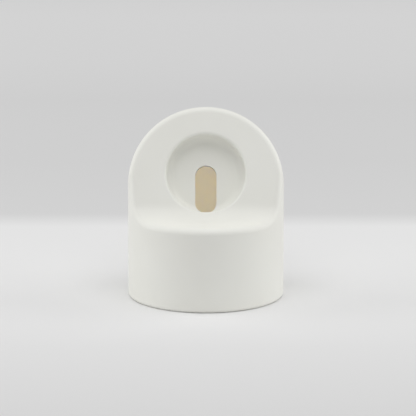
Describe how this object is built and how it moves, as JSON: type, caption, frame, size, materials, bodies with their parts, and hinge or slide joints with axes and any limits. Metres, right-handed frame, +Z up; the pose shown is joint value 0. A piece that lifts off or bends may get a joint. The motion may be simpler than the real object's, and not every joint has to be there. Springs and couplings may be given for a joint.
{
  "type": "smartwatch charging dock",
  "caption": "Soft moulded dock with a round base, a flat ledge and a leaned-back arch that holds a watch charging puck in a round recess, slotted for its lead.",
  "frame": {"origin": "centre of the round base, on the surface that the dock stands on", "axes": "+Z up, -Y to the front, towards which the cradle's face looks, +X to the right seen from the front"},
  "size_m": [0.0584, 0.0584, 0.0712],
  "materials": {
    "silicone": "matt, soft-touch, warm white moulded silicone"
  },
  "bodies": {
    "root": {"dock_body": "silicone"}
  },
  "joints": []
}
